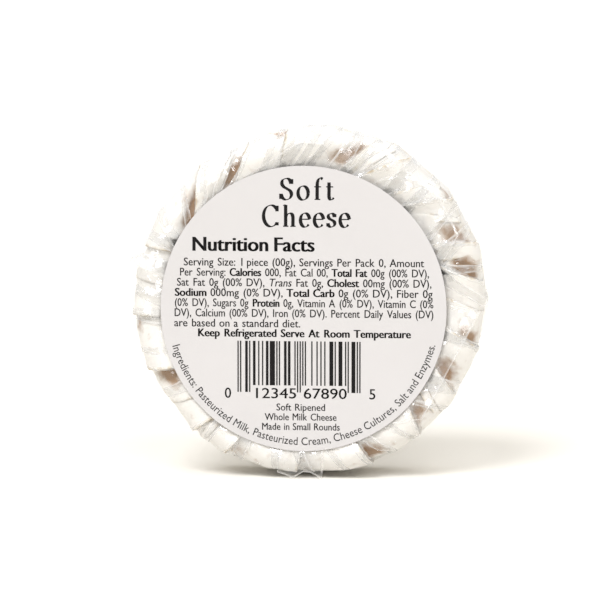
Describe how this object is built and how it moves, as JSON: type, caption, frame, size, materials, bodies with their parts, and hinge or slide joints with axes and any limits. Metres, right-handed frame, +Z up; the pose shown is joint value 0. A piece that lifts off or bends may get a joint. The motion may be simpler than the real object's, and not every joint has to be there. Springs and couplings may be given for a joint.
{
  "type": "wrapped soft cheese wheel",
  "caption": "Small soft-ripened cheese wheel standing on its rim, pleated in white paper and clear film, with a round label on its front.",
  "frame": {"origin": "middle of the bottom of the object's box, on the surface that the wheel stands on", "axes": "+Z up; the wheel's axis runs along Y, with the label facing -Y; +X to the right as the label is read"},
  "size_m": [0.0914, 0.0256, 0.0886],
  "materials": {
    "rind": null,
    "cheese_paper": "thin white waxed cheese paper, creased, slightly translucent",
    "clear_film": "clear glossy film, crinkled",
    "label_paper": "smooth white semi-gloss label paper with black print"
  },
  "bodies": {
    "root": {"cheese_wheel": "rind", "paper_liner": "cheese_paper", "film_wrap": "clear_film", "round_label": "label_paper"}
  },
  "joints": []
}
